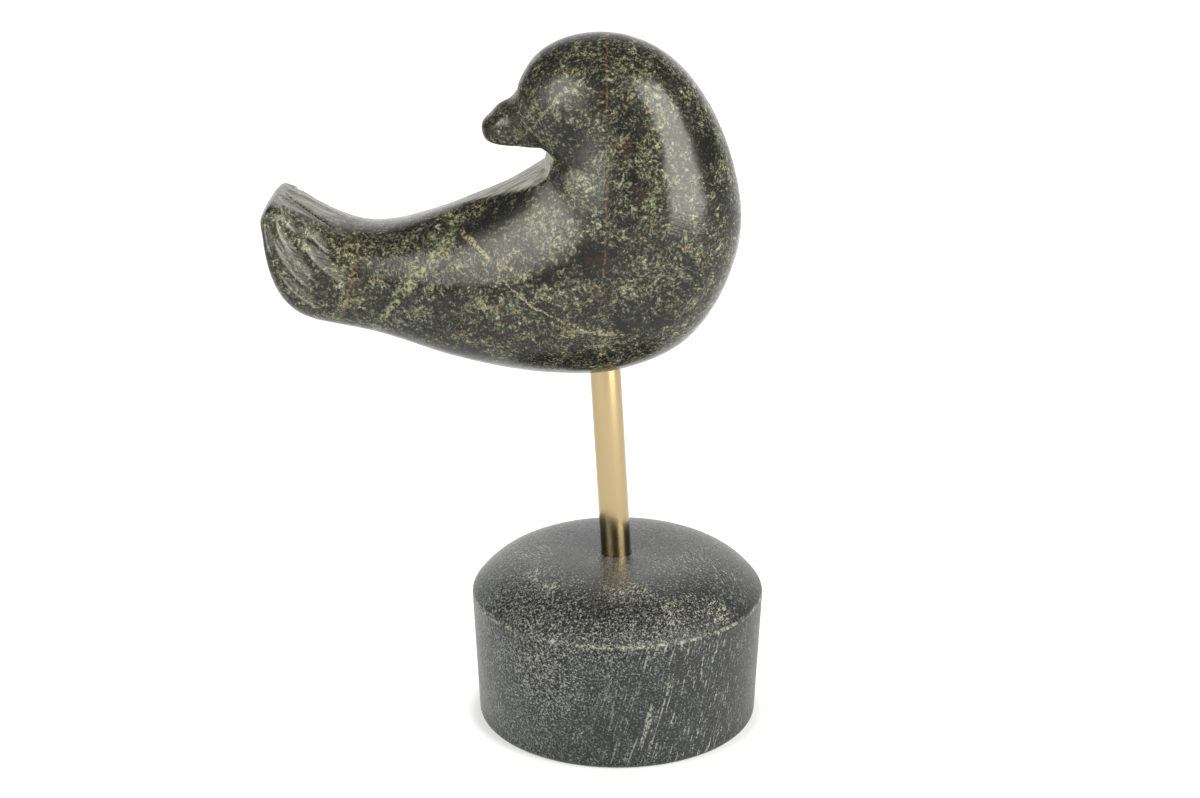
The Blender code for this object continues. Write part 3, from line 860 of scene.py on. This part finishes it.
def rust_share(tree, rock, mottle):
    """Where iron has stained the dark grains: a few named spots, and scattered ones."""
    share = noise_share(tree, rock, RUST_CLOUD, 0.56, 0.68, most=0.75, detail=4.0, roughness=0.7)
    broken = noise_share(tree, rock, RUST_GRAIN, 0.40, 0.58, least=0.1, roughness=0.7)
    for x, y, z, radius in RUST_SPOTS:
        near = near_place(tree, rock, (x, y, z), 0.4 * radius, radius, 0.65)
        near = add_node(tree, "Math", (near, broken), operation="MULTIPLY")
        share = add_node(tree, "Math", (share, near), operation="MAXIMUM")
    dark = add_node(tree, "MapRange", (mottle, 0.45, 0.70, 1.0, 0.1))
    return add_node(tree, "Math", (share, dark), operation="MULTIPLY")


def tan_share(tree, rock, mottle):
    """Where the pale grains are warm and not green."""
    share = noise_share(tree, rock, TAN_CLOUD, 0.52, 0.66, most=0.55, detail=3.0, roughness=0.6)
    light = add_node(tree, "MapRange", (mottle, 0.45, 0.70))
    return add_node(tree, "Math", (share, light), operation="MULTIPLY")


def vein_share(tree, vein, spot, rock):
    """How much of a vein shows: a thin sheet through the stone, curved about a line across the bird."""
    flat = add_node(tree, "VectorMath", (spot, (1.0, 0.0, 1.0)), operation="MULTIPLY")
    wander = {"Vector": spot, "Scale": 1 / VEIN_WANDER, "Detail": 4.0, "Roughness": 0.6}
    wander = add_node(tree, "TexNoise", wander)
    line = (vein.x, 0.0, vein.z)
    reach = add_node(tree, "VectorMath", (flat, line), "Value", operation="DISTANCE")
    reach = add_node(tree, "Math", (wander, -vein.wander, reach), operation="MULTIPLY_ADD")
    off = add_node(tree, "Math", (reach, vein.radius - vein.wander / 2), operation="SUBTRACT")
    off = add_node(tree, "Math", (off,), operation="ABSOLUTE")
    share = add_node(tree, "MapRange", (off, 0.3 * vein.width, 0.7 * vein.width, vein.strength, 0.0))
    # The vein breaks up into grains, and ends short of the rest of the stone.
    broken = noise_share(tree, rock, vein.breaks, vein.gaps - 0.06, vein.gaps + 0.06, detail=3.0)
    share = add_node(tree, "Math", (share, broken), operation="MULTIPLY")
    middle = (vein.middle_x, 0.0, vein.middle_z)
    kept = near_place(tree, flat, middle, vein.reach, 1.2 * vein.reach)
    return add_node(tree, "Math", (share, kept), operation="MULTIPLY")


def make_brass(settings):
    """Brass rod, drawn and satin-finished: pale gold with soft upright reflections."""
    finish, _tree, shader = new_finish("satin drawn brass")
    shader.inputs["Base Color"].default_value = opaque(settings.brass)
    shader.inputs["Metallic"].default_value = 1.0
    shader.inputs["Roughness"].default_value = settings.roughness
    return finish


def make_soapstone(settings):
    """Soapstone, turned and honed: a grey salt-and-pepper grain, open and pitted towards the front of the
    dome and smoother over its back, with short pale streaks down the side and a chipped rim."""
    finish, tree, shader = new_finish("honed soapstone")
    spot = object_millimetres(tree)
    parts = add_node(tree, "SeparateXYZ", (spot,)).node.outputs
    grain = {"Vector": spot, "Scale": 1 / SOAPSTONE_GRAIN, "Detail": 3.0, "Roughness": 0.75}
    grain = add_node(tree, "TexNoise", grain)
    cloud = {"Vector": spot, "Scale": 1 / STONE_CLOUD, "Detail": 3.0, "Roughness": 0.6}
    cloud = add_node(tree, "TexNoise", cloud)
    open_grain = near_share(tree, spot, OPEN_GRAIN)
    contrast = add_node(tree, "MapRange", (open_grain, 0.0, 1.0, *GRAIN_CONTRAST))
    grain = add_node(tree, "Math", (grain, 0.5), operation="SUBTRACT")
    grain = add_node(tree, "Math", (grain, contrast, SOAPSTONE_LIGHTNESS), operation="MULTIPLY_ADD")
    mottle = add_node(tree, "Math", (cloud, 0.3, grain), operation="MULTIPLY_ADD")
    # Painted shade: the stone is darkened a little, evenly, towards the block's right end.
    mottle = add_node(tree, "Math", (parts["X"], -0.0035, mottle), operation="MULTIPLY_ADD")
    mottle = patched(tree, mottle, spot, PLINTH_PATCHES)
    colour = add_node(tree, "ValToRGB", (mottle,))
    fill_ramp(colour.node.color_ramp, settings, SOAPSTONE_RAMP)
    cells = {"Vector": spot, "Scale": 1 / PIT_CELL, "Randomness": 1.0}
    cells = add_node(tree, "TexVoronoi", cells).node.outputs
    # Each pit has a size of its own.
    pits = add_node(tree, "Math", (cells["Color"], -0.65, cells["Distance"]), operation="MULTIPLY_ADD")
    pits = add_node(tree, "MapRange", (pits, -0.06, 0.06, 1.0, 0.0))
    pits = add_node(tree, "Math", (pits, open_grain), operation="MULTIPLY")
    marks = (
        (pits, settings.pit),
        (streak_share(tree, spot, parts), settings.pale),
        (dash_share(tree, spot, FLECKS, FLECK), settings.palest),
        (dash_share(tree, spot, SCRATCHES, SCRATCH), settings.pale),
        (rim_share(tree, spot, parts), settings.palest),
    )
    for share, stained in marks:
        colour = stain(tree, colour, share, stained)
    height = add_node(tree, "Math", (pits, -2.0, grain), operation="MULTIPLY_ADD")
    # The dome is honed finer than the side.
    gloss = add_node(tree, "MapRange", (parts["Z"], *DOME_START, *SOAPSTONE_ROUGHNESS))
    face_stone(tree, shader, colour, gloss, (height, SOAPSTONE_BUMP), HONED_SPECULAR)
    return finish


def near_share(tree, spot, places):
    """1 at the middle of any of these places and 0 beyond all of their radii."""
    share = 0.0
    for x, y, z, radius in places:
        near = near_place(tree, spot, (x, y, z), 0.5 * radius, radius)
        share = add_node(tree, "Math", (share, near), operation="MAXIMUM")
    return share


def dash_share(tree, spot, places, dash):
    """The clusters of pale flecks or scratches on the dome, each a short dash."""
    size = (dash.length, DASH_WIDTH, DASH_WIDTH)
    leaning = {"Vector": spot, "Rotation": (0.0, 0.0, math.radians(dash.turn)), "Scale": size}
    leaning = add_node(tree, "Mapping", leaning, vector_type="TEXTURE")
    flecks = noise_share(tree, leaning, 1, dash.rarity, dash.rarity + 0.07, most=0.8, roughness=0.6)
    near = near_share(tree, spot, places)
    return add_node(tree, "Math", (flecks, near), operation="MULTIPLY")


def streak_share(tree, spot, parts):
    """Short pale streaks that slant down the right of the side."""
    leaning = {"Vector": spot, "Rotation": (0.0, math.radians(STREAK_SLANT), 0.0), "Scale": STREAK_SIZE}
    leaning = add_node(tree, "Mapping", leaning, vector_type="TEXTURE")
    streaks = noise_share(tree, leaning, 1, 0.58, 0.66, most=0.95)
    broken = noise_share(tree, spot, STREAK_BREAK, 0.40, 0.52)
    streaks = add_node(tree, "Math", (streaks, broken), operation="MULTIPLY")
    right = add_node(tree, "MapRange", (parts["X"], -12.0, 22.0, 0.1, 1.0))
    end = add_node(tree, "MapRange", (parts["X"], 32.0, 46.0, 1.0, 0.35))
    right = add_node(tree, "Math", (right, end), operation="MULTIPLY")
    return add_node(tree, "Math", (streaks, right), operation="MULTIPLY")


def rim_share(tree, spot, parts):
    """The broken pale line where the rim's edge has bruised."""
    broken = {"Vector": spot, "Scale": 1 / RIM_CHIP, "Detail": 5.0, "Roughness": 0.85}
    broken = add_node(tree, "TexNoise", broken)
    height = add_node(tree, "Math", (broken, RIM_LINE_WANDER, parts["Z"]), operation="MULTIPLY_ADD")
    off = add_node(tree, "Math", (height, RIM_LINE_HEIGHT), operation="SUBTRACT")
    off = add_node(tree, "Math", (off,), operation="ABSOLUTE")
    line = add_node(tree, "MapRange", (off, *RIM_LINE_WIDTH, 0.75, 0.0))
    gaps = noise_share(tree, spot, RIM_GAP, 0.50, 0.58, detail=4.0, roughness=1.0)
    return add_node(tree, "Math", (line, gaps), operation="MULTIPLY")


def plinth_outline(rim_ease):
    """Half the plinth's outline, from the bottom of its hole over the dome and down to the underside. The two
    corners to be rounded come with it: under the dome, and at the foot."""
    _low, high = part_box("plinth")
    rim, top = high.x, high.z
    rim_height = top - PLINTH_CROWN
    hole = rod_line()[0] + HOLE_GAP
    bottom = top - ROD_IN_PLINTH - GLUE_GAP
    outline = [(0.0, bottom), (hole, bottom)]
    for step in range(1, PLINTH_HOLE_ROWS + 1):
        outline.append((hole, bottom + (top - bottom) * step / PLINTH_HOLE_ROWS))
    for step in range(1, PLINTH_CROWN_ROWS + 1):
        share = 1 - (1 - step / PLINTH_CROWN_ROWS) ** PLINTH_CROWN_CROWDING
        radius = hole + (rim - hole) * share
        height = rim_height + PLINTH_CROWN * (1 - (radius / rim) ** PLINTH_CROWN_POWER)
        if math.hypot(radius - rim, height - rim_height) > ROOM_TO_EASE * rim_ease:
            outline.append((radius, height))
    corners = [len(outline)]
    outline.append((rim, rim_height))
    foot = rim - PLINTH_FOOT_TAPER
    side_top = rim_height - PLINTH_SIDE_TOP
    for step in range(1, PLINTH_SIDE_ROWS + 1):
        height = side_top - (side_top - PLINTH_SIDE_BOTTOM) * step / PLINTH_SIDE_ROWS
        outline.append((foot + PLINTH_FOOT_TAPER * height / rim_height, height))
    corners.append(len(outline))
    outline += [(foot, 0.0)]
    for step in range(PLINTH_FOOT_ROWS + 1):
        outline.append((foot * PLINTH_FOOT_START * (1 - step / PLINTH_FOOT_ROWS), 0.0))
    return outline, corners


def shape_plinth(settings, finish):
    """Turns the outline once round the plinth's axis and leans its hole along the rod."""
    outline, corners = plinth_outline(settings.rim_ease)
    bm = bmesh.new()
    points = [bm.verts.new((x, 0.0, z)) for x, z in outline]
    for pair in zip(points, points[1:]):
        bm.edges.new(pair)
    eases = (settings.rim_ease, settings.foot_ease)
    for corner, ease, segments in zip(corners, eases, (RIM_SEGMENTS, FOOT_SEGMENTS)):
        rounding = {"offset": ease, "segments": segments, "profile": 0.5, "material": -1}
        bmesh.ops.bevel(bm, geom=[points[corner]], affect="VERTICES", **rounding)
    turning = {"cent": (0, 0, 0), "axis": (0, 0, 1), "angle": math.tau, "steps": PLINTH_SIDES}
    bmesh.ops.spin(bm, geom=bm.verts[:] + bm.edges[:], use_merge=True, **turning)
    bmesh.ops.remove_doubles(bm, verts=bm.verts, dist=SAME_PLACE)
    radius, low, high = rod_line()
    slope = (high.x - low.x) / (high.z - low.z)
    for vert in bm.verts:
        distance = math.hypot(vert.co.x, vert.co.y)
        hold = 1 - float(smooth_step(distance - radius, *LEANING_REACH))
        if vert.co.z > low.z - 1 * MM and hold > 0:
            vert.co.x += hold * (low.x + slope * (vert.co.z - low.z))
    open_pits(bm, settings.pit_depth)
    plinth = finish_piece("turned_plinth", bm, finish, "plinth")
    plinth.data.set_sharp_from_angle(angle=SHARP_ANGLE)
    return plinth


def down_outline(spot):
    """How far down the plinth's outline a spot lies, and then where round the axis. Spinning and merging
    leave the faces in any order, and this puts them in the same one on every run."""
    return round((math.hypot(spot.x, spot.y) - spot.z) / MM, 1), round(math.atan2(spot.y, spot.x), 4)


def open_pits(bm, depth):
    """Sinks small pits where the grain is open and the lathe has plucked a grain out."""
    dice = random.Random(PIT_SEED)
    open_faces = []
    for face in bm.faces:
        middle = face.calc_center_median() / MM
        nearness = max(1 - math.dist(middle, place[:3]) / place[3] for place in OPEN_GRAIN)
        cell = min(edge.calc_length() for edge in face.edges)
        if nearness > 0 and cell > PIT_SMALLEST_CELL and middle.z > PIT_LOWEST:
            open_faces.append((face, cell, nearness))
    open_faces.sort(key=lambda found: down_outline(found[0].calc_center_median()))
    pits = []
    for face, cell, nearness in open_faces:
        if dice.random() < PIT_CHANCE * min(1.0, 2 * nearness):
            pits.append((face, cell / 2 - PIT_MARGIN / 2))
    bmesh.ops.inset_individual(bm, faces=[face for face, _reach in pits], thickness=PIT_MARGIN)
    for face, reach in pits:
        # The mouth is drawn in to an even one and turned a little, so no two pits look alike.
        middle, size = face.calc_center_median(), dice.uniform(*PIT_SIZES)
        corners = list(face.verts)
        lead = min(range(len(corners)), key=lambda corner: down_outline(corners[corner].co))
        corners = corners[lead:] + corners[:lead]
        first = (corners[0].co - middle).normalized()
        start = dice.uniform(-PIT_TURN, PIT_TURN)
        for step, vert in enumerate(corners):
            turn = Matrix.Rotation(start + step * math.pi / 2, 3, face.normal)
            vert.co = middle + turn @ first * size * reach
    bmesh.ops.inset_individual(bm, faces=[face for face, _reach in pits], thickness=PIT_WALL, depth=-depth)


def shape_rod(finish):
    """A length of round brass with its ends eased."""
    bm = bmesh.new()
    rod_cylinder(bm, *rod_line())
    ends = [face for face in bm.faces if len(face.verts) > 4]
    rims = [edge for face in ends for edge in face.edges]
    rounding = {"offset": ROD_EASE, "segments": ROD_EASE_SEGMENTS, "profile": 0.5, "material": -1}
    bmesh.ops.bevel(bm, geom=rims, affect="EDGES", **rounding)
    rod = finish_piece("brass_rod", bm, finish, "rod")
    rod.data.set_sharp_from_angle(angle=SHARP_ANGLE)
    return rod


def add_softbox(softbox, radiance):
    """Stands a softbox in its place, facing the figurine's axis."""
    light = bpy.data.lights.new(softbox.name, "AREA")
    light.shape = "RECTANGLE"
    light.size = softbox.width
    light.size_y = softbox.high - softbox.low
    light.color = SOFTBOX_WARMTH
    light.energy = radiance * math.pi * light.size * light.size_y
    box = bpy.data.objects.new(softbox.name, light)
    turn = math.radians(softbox.azimuth)
    height = (softbox.low + softbox.high) / 2
    box.location = (softbox.distance * math.sin(turn), -softbox.distance * math.cos(turn), height)
    box.rotation_euler = (math.radians(90), 0.0, turn)
    bpy.context.scene.collection.objects.link(box)


def make_world():
    """A pale room that is brightest behind the figurine."""
    world = bpy.data.worlds.new("pale room")
    world.use_nodes = True
    tree = world.node_tree
    direction = add_node(tree, "TexCoord", output="Generated")
    backward = add_node(tree, "SeparateXYZ", (direction,), "Y")
    inputs = (backward, *ROOM_CHANGE, *ROOM_BRIGHTNESS)
    strength = add_node(tree, "MapRange", inputs, interpolation_type="SMOOTHSTEP")
    tree.links.new(strength, tree.nodes["Background"].inputs["Strength"])
    tree.nodes["Background"].inputs["Color"].default_value = WHITE
    bpy.context.scene.world = world


def make_floor():
    """White paper, under the figurine and far round it, with a contact shadow painted round the foot."""
    bm = bmesh.new()
    bmesh.ops.create_grid(bm, x_segments=4, y_segments=4, size=FLOOR_SIZE)
    mesh = bpy.data.meshes.new("floor")
    bm.to_mesh(mesh)
    bm.free()
    finish, tree, shader = new_finish("white paper floor")
    shader.inputs["Base Color"].default_value = PAPER_GREY
    shader.inputs["Roughness"].default_value = 0.8
    shader.inputs["Specular IOR Level"].default_value = 0.0
    shader.inputs["Emission Color"].default_value = WHITE
    # Farther off the lights don't reach, so the paper there is kept white by its own glow; close round the
    # foot the glow is halved, which paints a contact shadow.
    where = add_node(tree, "TexCoord", output="Object")
    away = add_node(tree, "VectorMath", (where,), "Value", operation="LENGTH")
    inputs = (away, *PAINTED_SHADOW_REACH, *PAPER_GLOW_WITH_PAINTED_SHADOW)
    glow = add_node(tree, "MapRange", inputs, interpolation_type="SMOOTHSTEP")
    tree.links.new(glow, shader.inputs["Emission Strength"])
    mesh.materials.append(finish)
    floor = bpy.data.objects.new("floor", mesh)
    bpy.context.scene.collection.objects.link(floor)


def make_camera(lens):
    """A camera that looks down at the figurine from a little right of its front."""
    camera = bpy.data.cameras.new("camera")
    camera.lens = lens
    camera.sensor_width = SENSOR_WIDTH
    stand = bpy.data.objects.new("camera", camera)
    back = Vector((0.0, -math.cos(CAMERA_DOWN), math.sin(CAMERA_DOWN))) * CAMERA_REACH
    stand.location = Matrix.Rotation(CAMERA_TURN, 3, "Z") @ (Vector(CAMERA_AIM) + back)
    stand.rotation_euler = (math.radians(90) - CAMERA_DOWN, 0.0, CAMERA_TURN)
    bpy.context.scene.collection.objects.link(stand)
    bpy.context.scene.camera = stand


def make_stage(settings):
    """The floor, the room, the lights and the camera."""
    make_floor()
    make_world()
    add_softbox(RIGHT_SOFTBOX, settings.right_light)
    add_softbox(LEFT_SOFTBOX, settings.left_light)
    make_camera(settings.lens)
    bpy.context.scene.view_settings.view_transform = "Standard"


class CarveBird(bpy.types.Operator):
    """Carve the serpentine bird"""

    bl_idname = "figurine.carve_bird"
    bl_label = "Carve the bird"

    def execute(self, context):
        settings = context.scene.figurine_bird
        shape_bird(settings, make_serpentine(settings))
        return {"FINISHED"}


class SetRod(bpy.types.Operator):
    """Set the brass rod"""

    bl_idname = "figurine.set_rod"
    bl_label = "Set the rod"

    def execute(self, context):
        shape_rod(make_brass(context.scene.figurine_rod))
        return {"FINISHED"}


class TurnPlinth(bpy.types.Operator):
    """Turn the soapstone plinth"""

    bl_idname = "figurine.turn_plinth"
    bl_label = "Turn the plinth"

    def execute(self, context):
        settings = context.scene.figurine_plinth
        shape_plinth(settings, make_soapstone(settings))
        return {"FINISHED"}


class DressStage(bpy.types.Operator):
    """Set up the floor, the lights and the camera"""

    bl_idname = "figurine.dress_stage"
    bl_label = "Dress the stage"

    def execute(self, context):
        make_stage(context.scene.figurine_stage)
        return {"FINISHED"}


class FigurinePanel(bpy.types.Panel):
    """Lists the figurine's pieces and their settings"""

    bl_idname = "VIEW3D_PT_figurine"
    bl_label = "Bird figurine"
    bl_space_type = "VIEW_3D"
    bl_region_type = "UI"
    bl_category = "Figurine"

    def draw(self, context):
        for operator, group in STEPS:
            box = self.layout.box()
            box.operator(operator.bl_idname)
            settings = getattr(context.scene, group)
            for name in settings.__annotations__:
                box.prop(settings, name)


SETTINGS = {
    "figurine_bird": BirdSettings,
    "figurine_rod": RodSettings,
    "figurine_plinth": PlinthSettings,
    "figurine_stage": StageSettings,
}
STEPS = (
    (CarveBird, "figurine_bird"),
    (SetRod, "figurine_rod"),
    (TurnPlinth, "figurine_plinth"),
    (DressStage, "figurine_stage"),
)


def register():
    for name, group in SETTINGS.items():
        bpy.utils.register_class(group)
        setattr(bpy.types.Scene, name, PointerProperty(type=group))
    for operator, _group in STEPS:
        bpy.utils.register_class(operator)
    bpy.utils.register_class(FigurinePanel)


def unregister():
    bpy.utils.unregister_class(FigurinePanel)
    for operator, _group in reversed(STEPS):
        bpy.utils.unregister_class(operator)
    for name, group in reversed(SETTINGS.items()):
        delattr(bpy.types.Scene, name)
        bpy.utils.unregister_class(group)


def main():
    register()
    bpy.ops.figurine.carve_bird()
    bpy.ops.figurine.set_rod()
    bpy.ops.figurine.turn_plinth()
    bpy.ops.figurine.dress_stage()


if __name__ == "__main__":
    main()
